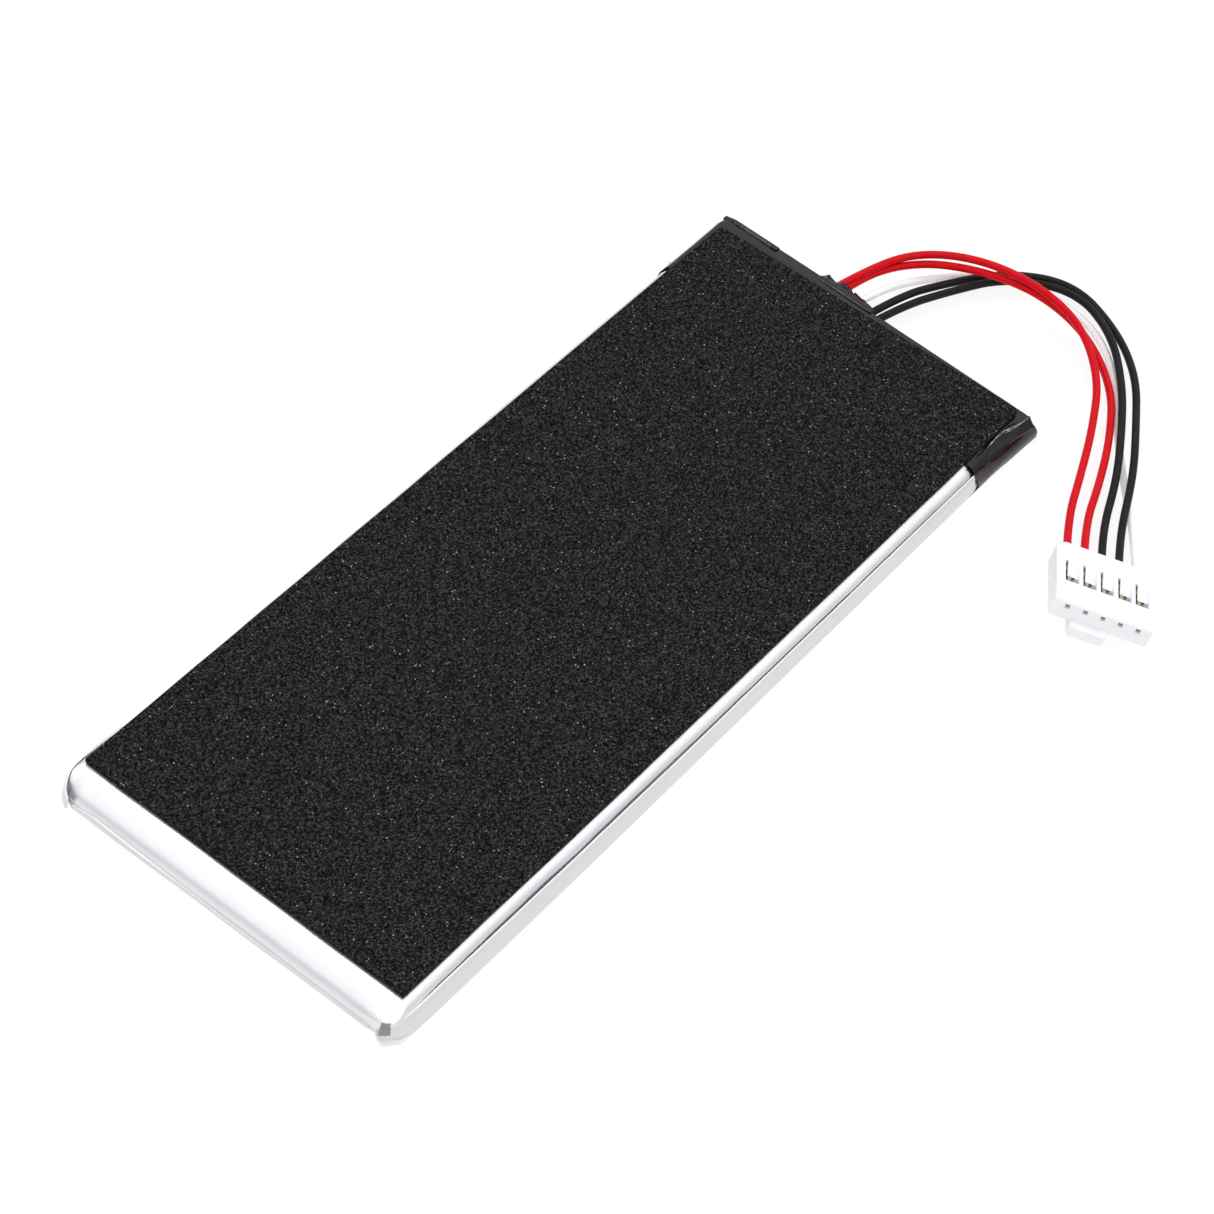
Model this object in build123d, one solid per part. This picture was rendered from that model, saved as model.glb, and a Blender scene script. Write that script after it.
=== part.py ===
from build123d import *
import math
import os

# A flat lithium polymer battery pack: a pouch cell with a protection board behind black tape,
# a sponge pad stuck on its face, and five loose wires that end in a crimp connector.
# Millimetres. X runs along the pack towards the wires, Y across it, Z up from the table.

# ---- overall sizes ----
pack_length = 110.8          # from the folded near edge to the taped wire end
pack_width = 44.5            # over the tape
pack_height = 3.6            # table to the face of the sponge pad
ear_reach = 0.8              # how far a pouch corner ear stands out of the near edge
far_x = (pack_length + ear_reach) / 2
near_x = far_x - pack_length

# ---- sheet materials ----
laminate = 0.11              # aluminium pouch laminate
tape = 0.1                   # black insulating tape, two turns
adhesive = 0.1               # transfer adhesive under the sponge pad
foam_length = 106.5
foam_width = 40.2
foam_thickness = 0.5
foam_near_gap = 3.05         # bare pouch between the near edge and the pad
foam_corner = 0.8
tape_cover = 11.8            # how much of the pack the tape wraps
slack = 0.01                 # smallest gap left between neighbouring pieces

# ---- pouch ----
cover_bottom = tape
cover_top = cover_bottom + laminate
cup_top = pack_height - foam_thickness - adhesive
cup_half_width = 21.7
cup_near_x = near_x + 0.15
cup_far_x = 50.6
cup_corner = 3.0
cup_shoulder = 1.1
flange_top = 1.9             # top edge of the side seals, folded up along the cup
flange_outer = pack_width / 2 - tape
terrace_end = 54.9           # end of the flat seal that the tabs come through
terrace_top = 0.43
near_lip_height = 0.45
fold_bevel = 0.1             # outside of the fold along each side seal

# ---- cell inside the pouch ----
anode_thickness = 0.16
cathode_thickness = 0.19
separator_thickness = 0.02
anode_count = 7
cathode_count = anode_count - 1
stack_bottom = cover_top + 0.05
stack_near_gap = 2.6         # left free under the rounded near shoulder of the cup
stack_near_x = cup_near_x + laminate + stack_near_gap
stack_far_x = 48.6
separator_half_width = 19.8
sheet_corner = 1.2
anode_inset = 0.4
cathode_inset = 0.7
foil_tongue_end = 49.0
foil_width = 6.0
foil_gather = 0.25           # how far the tongues bunch up before they drop to the tab
weld_start = 49.5
weld_end = 50.3
weld_thickness = 0.12
weld_shoulder = 0.3
tab_y = 9.0                  # the positive tab is at +tab_y and the negative one at -tab_y
tab_width = 5.0
tab_thickness = 0.1
film_thickness = 0.04
tab_bottom = cover_top + film_thickness
tab_top = tab_bottom + tab_thickness
film_width = 7.0
film_top = tab_top + film_thickness
film_start = 49.9
film_end = terrace_end + 0.3
tab_fold_x = 55.5
tab_return_x = 52.2
stack_tape_width = 8.0
stack_tape_reach = 6.0
stack_tape_thickness = 0.04
stack_tape_places = (-13.0, 0.0, 13.0)

# ---- tape over the wire end ----
patch_near_y = 13.4          # inner edge of the second layer at the corner away from the wires
patch_overlap = 1.1
patch_foot = 0.3
exit_flap_reach = 1.6        # how far the loose flap stands out over the wires
exit_flap_short = 0.4
exit_flap_thickness = 0.12
exit_flap_foot = 1.4

# ---- protection board ----
insulator_thickness = 0.06
board_near_x = 50.85
board_far_x = 54.95
board_half_length = 16.0
strip_thickness = 0.1
strip_near_x = 52.4
strip_far_x = 54.8
strip_half_width = 2.0
chip_bevel = 0.06
lead_length = 0.4
lead_width = 0.25
lead_thickness = 0.15
board_bottom = terrace_top + insulator_thickness + slack + tab_thickness + strip_thickness
board_thickness = 0.5
board_top = board_bottom + board_thickness

# ---- wires ----
wire_diameter = 0.9
wire_radius = wire_diameter / 2
conductor_radius = 0.28
conductor_length = 1.0
wire_pad_x = 52.6
wire_pad_z = board_top + wire_radius
slot_low = (-1.5, 0.75)      # wire slot in the end of the tape: Y and Z of its two corners
slot_high = (7.2, 2.9)

# ---- connector, in its own axes: row along X, towards the wires along Y, top along Z ----
pin_pitch = 2.0
pin_count = 5
housing_width = 11.1
housing_depth = 10.0
housing_thickness = 2.3
housing_rear_bevel = 1.0
housing_front_round = 0.45
lever_low = (-3.1, -1.3)     # latch lever under the housing: its two corners along the row and depth
lever_high = (1.0, 5.0)
lever_drop = 0.95
lever_bevel = 0.35
cavity_half = 0.67
cavity_front = 1.0
cavity_low = -1.75
cavity_high = -0.35
pin_half = 0.27
window_floor = -0.9
window_left = 0.52
window_right = 1.0
window_front = 3.5
window_back = 4.7
slit_back = 7.0
slit_width = 0.32
wire_drop = 0.95             # wires lie this far below the top face
pin_drop = 0.7
socket_half = 0.55
socket_front = 1.2
socket_back = 5.4
socket_drop = 1.05
waist_back = 6.0
barrel_radius = 0.5
crimp_end = 8.5              # where a wire meets its crimp barrel
wire_lead_in = 6.5           # straight run of wire behind the crimp barrel
connector_origin = Vector(35.2, -43.6, 5.2)
connector_row = Vector(0.473, -0.863, -0.178)
connector_back = Vector(0.847, 0.501, -0.179)
connector_plane = Plane(
    origin=connector_origin,
    x_dir=connector_row,
    z_dir=connector_row.cross(connector_back),
)

# ---- wire routes: name, place in the connector counted from its middle, points in order ----
wire_routes = {
    "wire_red_1": (-2, [
        (wire_pad_x, 6.6, wire_pad_z), (59.4, 4.8, 2.7), (66.0, 2.1, 3.3), (70.1, -3.6, 3.8),
        (71.6, -10.8, 4.0), (70.8, -17.7, 3.3), (66.3, -23.4, 2.2), (59.8, -26.9, 1.6),
        (53.4, -29.6, 1.7)]),
    "wire_red_2": (-1, [
        (wire_pad_x, 4.9, wire_pad_z), (59.7, 4.6, 1.6), (66.0, 0.9, 2.3), (69.8, -4.9, 2.95),
        (71.8, -11.8, 2.85), (71.1, -18.8, 2.0), (67.0, -25.0, 1.2), (61.0, -28.7, 1.0),
        (54.4, -31.6, 1.3)]),
    "wire_black_1": (0, [
        (wire_pad_x, 0.0, wire_pad_z), (59.4, -1.2, 1.6), (65.9, -3.6, 1.4), (71.7, -7.5, 1.5),
        (75.1, -14.3, 1.6), (72.5, -20.9, 1.6), (67.8, -25.8, 1.6), (61.8, -29.5, 1.7),
        (55.4, -33.0, 1.6)]),
    "wire_black_2": (1, [
        (wire_pad_x, 1.4, wire_pad_z), (60.0, -0.2, 2.3), (66.8, -2.2, 1.6), (73.2, -6.2, 1.9),
        (77.3, -13.0, 1.5), (75.3, -20.4, 0.8), (70.3, -26.1, 1.4), (63.7, -30.2, 1.7),
        (57.0, -34.1, 1.95)]),
    "wire_white": (2, [
        (wire_pad_x, 3.3, wire_pad_z), (60.0, 2.4, 1.6), (67.4, -0.3, 0.5), (73.4, -4.8, 0.5),
        (75.9, -11.9, 0.5), (73.6, -19.2, 0.5), (68.2, -25.1, 0.5), (61.9, -29.2, 0.5),
        (56.0, -34.0, 0.5)]),
}


# ---- helpers ----
def block(x0, x1, y0, y1, z0, z1):
    """Box between two corners."""
    size = Box(x1 - x0, y1 - y0, z1 - z0, align=(Align.MIN, Align.MIN, Align.MIN))
    return Pos(x0, y0, z0) * size


def rounded_plate(x0, x1, half_width, z0, z1, corner):
    """Flat plate centred on the X axis, with rounded corners seen from above."""
    outline = RectangleRounded(x1 - x0, 2 * half_width, corner)
    return Pos((x0 + x1) / 2, 0, z0) * extrude(outline, z1 - z0)


def strip_along_x(corners, x0, x1):
    """Extrude a closed outline of (Y, Z) corners along X."""
    outline = Plane.YZ * make_face(Polyline(*corners, close=True))
    return Pos(x0, 0, 0) * extrude(outline, x1 - x0)


def strip_along_y(corners, y0, y1):
    """Extrude a closed outline of (X, Z) corners along Y."""
    outline = Plane.XZ * make_face(Polyline(*corners, close=True))
    return Pos(0, y1, 0) * extrude(outline, y1 - y0)


def rod(start, end, radius):
    """Round rod between two points."""
    axis = end - start
    return extrude(Plane(origin=start, z_dir=axis) * Circle(radius), axis.length)


def mirrored(shape):
    """The same shape on the other side of the pack."""
    return mirror(shape, about=Plane.XZ)


# ---- pouch ----
def drawn_cup(offset):
    """The deep-drawn shape of the cup, shrunk by offset on every side but its open one."""
    body = rounded_plate(
        cup_near_x + offset, cup_far_x - offset, cup_half_width - offset,
        cover_top, cup_top - offset, cup_corner - offset)
    top_edges = body.edges().group_by(Axis.Z)[-1]
    return fillet(top_edges, cup_shoulder - offset)


def pouch_cup():
    shell = drawn_cup(0) - drawn_cup(laminate)
    inner_y = flange_outer - 2 * laminate
    outer_y = flange_outer - laminate
    flange = strip_along_x([
        (cup_half_width - laminate, cover_top), (outer_y, cover_top), (outer_y, flange_top),
        (inner_y, flange_top), (inner_y, cover_top + laminate),
        (cup_half_width - laminate, cover_top + laminate),
    ], cup_near_x + cup_corner, terrace_end)
    terrace = block(cup_far_x - laminate, terrace_end, -inner_y, inner_y, cover_top, terrace_top)
    cup = shell + flange + mirrored(flange) + terrace
    for y in (tab_y, -tab_y):
        cup -= block(
            film_start, terrace_end + 1, y - film_width / 2, y + film_width / 2, cover_top, film_top)
    return cup


def corner_ear(side, reach):
    """Small pointed fold of laminate that stands out of a near corner."""
    y = side * flange_outer
    tip_y = side * (flange_outer - 1.3)
    root_y = side * (flange_outer - 3.0)
    outline = make_face(Polyline(
        (near_x + 2.0, root_y), (near_x, root_y), (near_x - reach, tip_y),
        (near_x - reach / 2, side * (flange_outer - 0.4)), (near_x + 1.6, y), close=True))
    return Pos(0, 0, cover_bottom) * extrude(outline, laminate, dir=(0, 0, 1))


def pouch_cover():
    plate = rounded_plate(
        near_x, terrace_end, flange_outer, cover_bottom, cover_top, 1.2)
    flange = block(
        cup_near_x + cup_corner, terrace_end, flange_outer - laminate, flange_outer,
        cover_bottom, flange_top)
    near_lip = block(
        near_x, near_x + laminate, -cup_half_width + cup_corner, cup_half_width - cup_corner,
        cover_bottom, near_lip_height)
    ears = corner_ear(-1, ear_reach) + corner_ear(1, ear_reach / 2)
    cover = plate + flange + mirrored(flange) + near_lip + ears
    long_edges = [
        edge for edge in cover.edges().filter_by(Axis.X).group_by(Axis.Z)[0]
        if abs(abs(edge.center().Y) - flange_outer) < slack]
    return chamfer(long_edges, fold_bevel)


# ---- electrode stack ----
def sheet_heights():
    """Bottom heights of the anodes, cathodes and separators, laid up from the cover."""
    anodes, cathodes, separators = [], [], []
    z = stack_bottom
    for layer in range(anode_count + cathode_count):
        is_anode = layer % 2 == 0
        (anodes if is_anode else cathodes).append(z)
        z += anode_thickness if is_anode else cathode_thickness
        if layer < anode_count + cathode_count - 1:
            separators.append(z)
            z += separator_thickness
    return anodes, cathodes, separators, z


def electrode_sheets(heights, thickness, inset, tongue_y):
    """Coated foils with a bare tongue each, where they are welded together."""
    sheets = []
    for z in heights:
        coated = rounded_plate(
            stack_near_x + inset, stack_far_x - inset, separator_half_width - inset,
            z, z + thickness, sheet_corner)
        tongue = block(
            stack_far_x - 2 * inset, foil_tongue_end, tongue_y - foil_width / 2,
            tongue_y + foil_width / 2, z, z + thickness)
        sheets.append(coated + tongue)
    return sheets


def foil_bundle(y):
    """The foil tongues of one polarity, gathered down onto the tab."""
    top = stack_top - weld_thickness / 2
    bundle = strip_along_y([
        (foil_tongue_end, stack_bottom), (weld_start, tab_top), (weld_end, tab_top),
        (weld_end, tab_top + weld_thickness),
        (weld_start + foil_gather, tab_top + weld_shoulder),
        (foil_tongue_end + foil_gather, top), (foil_tongue_end, top),
    ], y - foil_width / 2, y + foil_width / 2)
    return bundle - block(
        film_start, film_end, y - film_width / 2, y + film_width / 2, cover_top, film_top)


def stack_tape_bands():
    """Three bands of tape that hold the near end of the stack together."""
    low = stack_bottom - stack_tape_thickness
    high = stack_top + stack_tape_thickness
    near = stack_near_x - stack_tape_thickness
    bands = []
    for y in stack_tape_places:
        band = strip_along_y([
            (near, low), (near + stack_tape_reach, low), (near + stack_tape_reach, stack_bottom),
            (stack_near_x, stack_bottom), (stack_near_x, stack_top),
            (near + stack_tape_reach, stack_top), (near + stack_tape_reach, high), (near, high),
        ], y - stack_tape_width / 2, y + stack_tape_width / 2)
        bands.append(band)
    return bands


# ---- tabs ----
def tab(y):
    """Flat tab that leaves the cell through the terrace and folds back under the board."""
    low = tab_bottom
    high = terrace_top + insulator_thickness + slack
    t = tab_thickness
    return strip_along_y([
        (weld_start, low), (tab_fold_x, low), (tab_fold_x, high + t), (tab_return_x, high + t),
        (tab_return_x, high), (tab_fold_x - t, high), (tab_fold_x - t, low + t),
        (weld_start, low + t),
    ], y - tab_width / 2, y + tab_width / 2)


def tab_film(y):
    """Sealing film round a tab where the pouch is welded over it."""
    film = block(film_start, film_end, y - film_width / 2, y + film_width / 2, cover_top, film_top)
    return film - tab(y)


# ---- protection board ----
def chip(x, y, length, width, height):
    """Small moulded or ceramic part on top of the board."""
    body = Pos(x, y, board_top) * Box(
        length, width, height, align=(Align.CENTER, Align.CENTER, Align.MIN))
    return chamfer(body.edges().group_by(Axis.Z)[-1], chip_bevel)


def gull_leads(x, y, body_length, pitch, count):
    """Two rows of short flat leads beside a chip."""
    leads = []
    for side in (-1, 1):
        for index in range(count):
            lead_y = y + (index - (count - 1) / 2) * pitch
            lead_x = x + side * (body_length + lead_length) / 2
            leads.append(Pos(lead_x, lead_y, board_top) * Box(
                lead_length, lead_width, lead_thickness,
                align=(Align.CENTER, Align.CENTER, Align.MIN)))
    return leads


def packaged_chip(x, y, length, width, height, pitch, count):
    body = chip(x, y, length, width, height)
    for lead in gull_leads(x, y, length, pitch, count):
        body += lead
    return body


def nickel_pad(y):
    """Strip under the board that a tab is welded to."""
    return block(
        strip_near_x, strip_far_x, y - strip_half_width, y + strip_half_width,
        board_bottom - strip_thickness, board_bottom)


# ---- black tape ----
def tape_section(inset):
    """Cross-section of the taped end, seen along the pack."""
    half = pack_width / 2 - inset
    low = inset
    high = cup_top + tape - inset
    shoulder = cup_shoulder + tape - inset
    heel = fold_bevel + tape - inset
    corner = math.sqrt(0.5)
    right = Line((-half + heel, low), (half - heel, low))
    heel_right = ThreePointArc(
        (half - heel, low), (half - heel + heel * corner, low + heel - heel * corner),
        (half, low + heel))
    side_right = Line((half, low + heel), (half, high - shoulder))
    top_right = ThreePointArc(
        (half, high - shoulder),
        (half - shoulder + shoulder * corner, high - shoulder + shoulder * corner),
        (half - shoulder, high))
    top = Line((half - shoulder, high), (-half + shoulder, high))
    top_left = ThreePointArc(
        (-half + shoulder, high),
        (-half + shoulder - shoulder * corner, high - shoulder + shoulder * corner),
        (-half, high - shoulder))
    side_left = Line((-half, high - shoulder), (-half, low + heel))
    heel_left = ThreePointArc(
        (-half, low + heel), (-half + heel - heel * corner, low + heel - heel * corner),
        (-half + heel, low))
    edges = [right, heel_right, side_right, top_right, top, top_left, side_left, heel_left]
    return Plane.YZ * make_face(edges)


def tape_wrap():
    front = far_x - tape_cover
    back = far_x - tape
    wrap = Pos(front, 0, 0) * extrude(tape_section(0), back - front)
    hollow = Pos(front - 1, 0, 0) * extrude(tape_section(tape), back - tape - front + 1)
    slot = block(back - 1, back + 1, slot_low[0], slot_high[0], slot_low[1], slot_high[1])
    return wrap - hollow - slot


def tape_corner_patch():
    """Second layer of tape over the end, at the corner away from the wires."""
    top = cup_top + tape
    return strip_along_y([
        (far_x - tape, patch_foot), (far_x, patch_foot), (far_x, top + tape),
        (far_x - patch_overlap, top + tape), (far_x - patch_overlap, top), (far_x - tape, top),
    ], patch_near_y, pack_width / 2 - cup_shoulder - tape)


def wire_exit_tape():
    """Loose flap of tape pressed over the wires where they come out."""
    top = cup_top + tape
    reach = far_x + exit_flap_reach
    outer_y = slot_high[0] + 0.3
    hood = block(
        far_x - tape, reach, slot_low[0] + 3.1, outer_y, top - exit_flap_thickness, top)
    flap = block(
        far_x - tape, reach - exit_flap_short, outer_y - exit_flap_thickness, outer_y,
        exit_flap_foot, top)
    return hood + flap


# ---- pad ----
foam_x = near_x + foam_near_gap


def foam_pad():
    return rounded_plate(
        foam_x, foam_x + foam_length, foam_width / 2, cup_top + adhesive, pack_height, foam_corner)


def adhesive_film():
    film = rounded_plate(
        foam_x, far_x, foam_width / 2, cup_top, cup_top + adhesive, foam_corner)
    return film - block(far_x - tape_cover, far_x + 1, -pack_width, pack_width, 0, pack_height)


# ---- connector ----
def row_places():
    """Places of the contacts along the row."""
    return [(index - (pin_count - 1) / 2) * pin_pitch for index in range(pin_count)]


def connector_housing():
    half = housing_width / 2
    body = block(-half, half, 0, housing_depth, -housing_thickness, 0)
    rear_edges = body.edges().filter_by(Axis.Z).group_by(Axis.Y)[-1]
    body = chamfer(rear_edges, housing_rear_bevel)
    front_edges = body.edges().filter_by(Axis.X).group_by(Axis.Y)[0]
    body = fillet(front_edges.sort_by(Axis.Z)[-1], housing_front_round)
    lever = block(
        lever_low[0], lever_high[0], lever_low[1], lever_high[1],
        -housing_thickness - lever_drop, -housing_thickness + lever_drop / 5)
    lever_tip = lever.edges().filter_by(Axis.Z).group_by(Axis.Y)[0]
    body += chamfer(lever_tip, lever_bevel)
    for x in row_places():
        left = x - window_left
        body -= block(
            x - cavity_half, x + cavity_half, cavity_front, housing_depth + 1,
            cavity_low, cavity_high)
        body -= block(
            x - pin_half, x + pin_half, -1, window_front - 2, -pin_drop - pin_half,
            -pin_drop + pin_half)
        body -= block(left, x + window_right, window_front, window_back, window_floor, 1)
        body -= block(left, left + slit_width, window_front, slit_back, window_floor, 1)
        ramp = strip_along_x([
            (window_back - 0.1, 1), (window_back - 0.1, cavity_high), (slit_back - 0.1, 0),
            (slit_back - 0.1, 1),
        ], left + slit_width - slack, x + window_right)
        body -= ramp
    return connector_plane.location * body


def crimp_contact(x):
    """Box-shaped socket with a lance, a waist and the barrel that grips the wire."""
    socket = block(
        x - socket_half, x + socket_half, socket_front, socket_back,
        -socket_drop - socket_half, -socket_drop + socket_half)
    socket -= block(
        x - 0.35, x + 0.35, socket_front - 0.3, socket_back - 0.4, -pin_drop - 0.35,
        -pin_drop + 0.25)
    waist = block(
        x - barrel_radius / 2, x + barrel_radius / 2, socket_back - 0.1, waist_back + 0.2,
        -wire_drop - 0.4, -wire_drop)
    barrel = Plane(origin=(x, waist_back, -wire_drop), z_dir=(0, 1, 0)) * Circle(barrel_radius)
    contact = socket + waist + extrude(barrel, crimp_end - waist_back)
    return connector_plane.location * contact


# ---- wires ----
def connector_point(place, depth):
    """Point on a wire's line through the connector, depth behind its front face."""
    return connector_plane.from_local_coords(Vector(place * pin_pitch, depth, -wire_drop))


def full_route(name):
    place, points = wire_routes[name]
    lead_in = connector_point(place, crimp_end + wire_lead_in)
    return [Vector(*point) for point in points] + [lead_in, connector_point(place, crimp_end)]


def bend_radii(route):
    """Largest arc that fits each corner of a route."""
    radii = []
    for before, corner, after in zip(route, route[1:], route[2:]):
        turn = math.radians((corner - before).get_angle(after - corner))
        shorter = min((corner - before).length, (after - corner).length)
        radii.append(0.45 * shorter / math.tan(turn / 2))
    return radii


def wire_tube(name):
    route = full_route(name)
    radii = bend_radii(route)
    path = FilletPolyline(*route, radius=radii)
    section = Plane(origin=path @ 0, z_dir=path % 0) * Circle(wire_radius)
    tube = sweep(section, path=path)
    expected = math.pi * wire_radius ** 2 * path.length
    print(f"{name}: length {path.length:.1f}, tightest radius {min(radii):.1f}, "
          f"volume {tube.volume:.2f} of {expected:.2f}")
    return tube


def conductor_end(name):
    """Bare strands of one wire, lying on their solder pad."""
    start, following = full_route(name)[:2]
    back = (start - following).normalized()
    return rod(start, start + back * conductor_length, conductor_radius)


def solder_joint(name):
    start, following = full_route(name)[:2]
    middle = start + (start - following).normalized() * (conductor_length * 0.6)
    height = wire_pad_z + 0.3 - board_top
    blob = Pos(middle.X, middle.Y, board_top) * Box(
        0.7, 1.1, height, align=(Align.CENTER, Align.CENTER, Align.MIN))
    blob = fillet(blob.edges().group_by(Axis.Z)[-1], 0.2)
    return blob - conductor_end(name)


# ---- build every node ----
anode_z, cathode_z, separator_z, stack_top = sheet_heights()

nodes = {
    "pouch_cup": pouch_cup(),
    "pouch_cover": pouch_cover(),
    "anode_sheets": electrode_sheets(anode_z, anode_thickness, anode_inset, -tab_y),
    "cathode_sheets": electrode_sheets(cathode_z, cathode_thickness, cathode_inset, tab_y),
    "separator_sheets": [
        rounded_plate(
            stack_near_x, stack_far_x, separator_half_width, z, z + separator_thickness,
            sheet_corner)
        for z in separator_z],
    "stack_tape": stack_tape_bands(),
    "foil_bundle_positive": foil_bundle(tab_y),
    "foil_bundle_negative": foil_bundle(-tab_y),
    "tab_positive": tab(tab_y),
    "tab_negative": tab(-tab_y),
    "tab_film_positive": tab_film(tab_y),
    "tab_film_negative": tab_film(-tab_y),
    "board_insulator": block(
        board_near_x, terrace_end, -board_half_length, board_half_length,
        terrace_top, terrace_top + insulator_thickness),
    "nickel_pad_positive": nickel_pad(tab_y),
    "nickel_pad_negative": nickel_pad(-tab_y),
    "protection_board": block(
        board_near_x, board_far_x, -board_half_length, board_half_length, board_bottom, board_top),
    "mosfet_chip": packaged_chip(52.9, -6.0, 2.2, 3.0, 0.9, 0.65, 4),
    "protection_chip": packaged_chip(52.9, -11.2, 1.6, 2.9, 1.0, 0.95, 3),
    "chip_resistors": [chip(x, y, 0.5, 1.0, 0.35) for x in (51.7, 54.1) for y in (9.4, 11.0)],
    "chip_capacitors": [chip(52.9, y, 0.5, 1.0, 0.5) for y in (9.4, 11.0)],
    "thermistor_chip": chip(52.9, 13.6, 0.8, 1.6, 0.45),
    "solder_joints": [solder_joint(name) for name in wire_routes],
    "conductor_ends": [conductor_end(name) for name in wire_routes],
    "tape_wrap": tape_wrap(),
    "tape_corner_patch": tape_corner_patch(),
    "wire_exit_tape": wire_exit_tape(),
    "adhesive_film": adhesive_film(),
    "foam_pad": foam_pad(),
    "connector_housing": connector_housing(),
    "crimp_contacts": [crimp_contact(x) for x in row_places()],
}
for name in wire_routes:
    nodes[name] = wire_tube(name)

os.makedirs("parts", exist_ok=True)
for name, shape in nodes.items():
    solids = shape if isinstance(shape, list) else [shape]
    export_step(Compound(children=[Part(solid.wrapped) for solid in solids]), f"parts/{name}.step")
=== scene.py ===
import bmesh
import bpy
import math
import random
from mathutils import Matrix, Vector, noise


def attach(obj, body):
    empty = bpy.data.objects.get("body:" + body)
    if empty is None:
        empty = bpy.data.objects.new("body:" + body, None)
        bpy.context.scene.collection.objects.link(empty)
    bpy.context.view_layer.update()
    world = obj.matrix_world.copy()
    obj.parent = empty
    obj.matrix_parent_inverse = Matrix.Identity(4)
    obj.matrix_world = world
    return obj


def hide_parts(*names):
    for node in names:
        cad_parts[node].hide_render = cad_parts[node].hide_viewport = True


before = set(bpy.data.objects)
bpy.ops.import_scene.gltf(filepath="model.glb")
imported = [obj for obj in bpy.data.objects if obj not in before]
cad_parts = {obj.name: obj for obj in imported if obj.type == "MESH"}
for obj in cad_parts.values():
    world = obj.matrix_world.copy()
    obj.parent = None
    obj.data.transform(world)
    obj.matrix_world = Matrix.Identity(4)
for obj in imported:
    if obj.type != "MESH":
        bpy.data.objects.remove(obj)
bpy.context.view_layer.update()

# Looks of the lithium polymer battery pack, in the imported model's own frame.
# x runs from the plain near end to the wire end, y from the right seal to the left one, z is up.
# Sizes below are millimetres; new_piece(), bevelled_copy() and the cords turn them into metres.

MM = 0.001
BODY = "root"

# ---- sizes shared by the pieces ----
pouch_bottom = 0.1      # underside of the flat cover; the tape's turns run under it
cover_top = 0.21
cup_top = 3.0
near_fold_x = -55.1     # where the near end's seal is folded up
tape_front_x = 44.2
tape_end_x = 55.65
tape_top = 3.1


# ---- helpers ----
def lerp(a, b, t):
    return a + (b - a) * t


def smooth(t):
    """Soft step from 0 to 1 as t goes from 0 to 1."""
    t = max(0.0, min(1.0, t))
    return t * t * (3 - 2 * t)


def along(points, x):
    """Value at x of the broken line through (x, value) points."""
    if x <= points[0][0]:
        return points[0][1]
    for (x0, v0), (x1, v1) in zip(points, points[1:]):
        if x <= x1:
            return lerp(v0, v1, (x - x0) / (x1 - x0))
    return points[-1][1]


def ripple(point, scale, strength):
    """Soft random value at a point: scale is the size of its waves in millimetres."""
    return strength * noise.noise(Vector(point) / scale)


def finish_mesh(mesh, smooth_angle):
    """Outward normals, smooth faces and sharp edges over an angle."""
    work = bmesh.new()
    work.from_mesh(mesh)
    bmesh.ops.remove_doubles(work, verts=work.verts, dist=1e-7)
    bmesh.ops.recalc_face_normals(work, faces=work.faces)
    limit = math.radians(smooth_angle)
    for face in work.faces:
        face.smooth = True
    for edge in work.edges:
        edge.smooth = len(edge.link_faces) == 2 and edge.calc_face_angle(0) < limit
    work.to_mesh(mesh)
    work.free()


def place(name, mesh, material, replaced, smooth_angle):
    """Object on the body from a mesh, with its material and the CAD nodes it stands for."""
    piece = bpy.data.objects.new(name, mesh)
    bpy.context.scene.collection.objects.link(piece)
    finish_mesh(mesh, smooth_angle)
    mesh.materials.append(material)
    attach(piece, BODY)
    if replaced:
        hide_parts(*replaced)
    return piece


def new_piece(name, vertices, faces, material, replaced=(), smooth_angle=40):
    """Piece from millimetre points, shaded smooth except at edges sharper than the angle."""
    mesh = bpy.data.meshes.new(name)
    mesh.from_pydata([Vector(v) * MM for v in vertices], [], faces)
    return place(name, mesh, material, replaced, smooth_angle)


def loft(rings, caps=True):
    """Quads between closed rings of equal length; caps closes the two ends by one face each."""
    vertices = [p for ring in rings for p in ring]
    count = len(rings[0])
    faces = []
    for i in range(len(rings) - 1):
        for j in range(count):
            a = i * count + j
            b = i * count + (j + 1) % count
            faces.append((a, b, b + count, a + count))
    if caps:
        last = (len(rings) - 1) * count
        faces.append(tuple(range(count)))
        faces.append(tuple(range(last, last + count)))
    return vertices, faces


def grid_faces(columns, rows):
    """Quads of a grid whose points are listed row by row, with columns quads in each row."""
    width = columns + 1
    corners = [j * width + i for j in range(rows) for i in range(columns)]
    return [(a, a + 1, a + 1 + width, a + width) for a in corners]


def joined(*parts):
    """Several (vertices, faces) lists as one."""
    vertices, faces = [], []
    for more_vertices, more_faces in parts:
        start = len(vertices)
        vertices.extend(more_vertices)
        faces.extend(tuple(start + i for i in face) for face in more_faces)
    return vertices, faces


def smooth_line(points, spacing):
    """Points about spacing apart on a smooth (Catmull-Rom) line through the given points."""
    line = [Vector(p) for p in points]
    ends = [line[0] * 2 - line[1]] + line + [line[-1] * 2 - line[-2]]
    found = []
    for a, b, c, d in zip(ends, ends[1:], ends[2:], ends[3:]):
        steps = max(2, round((c - b).length / spacing))
        for i in range(steps):
            t = i / steps
            found.append(0.5 * (
                2 * b + (c - a) * t + (2 * a - 5 * b + 4 * c - d) * t * t
                + (3 * b - a - 3 * c + d) * t * t * t))
    return found + [line[-1]]


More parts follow.
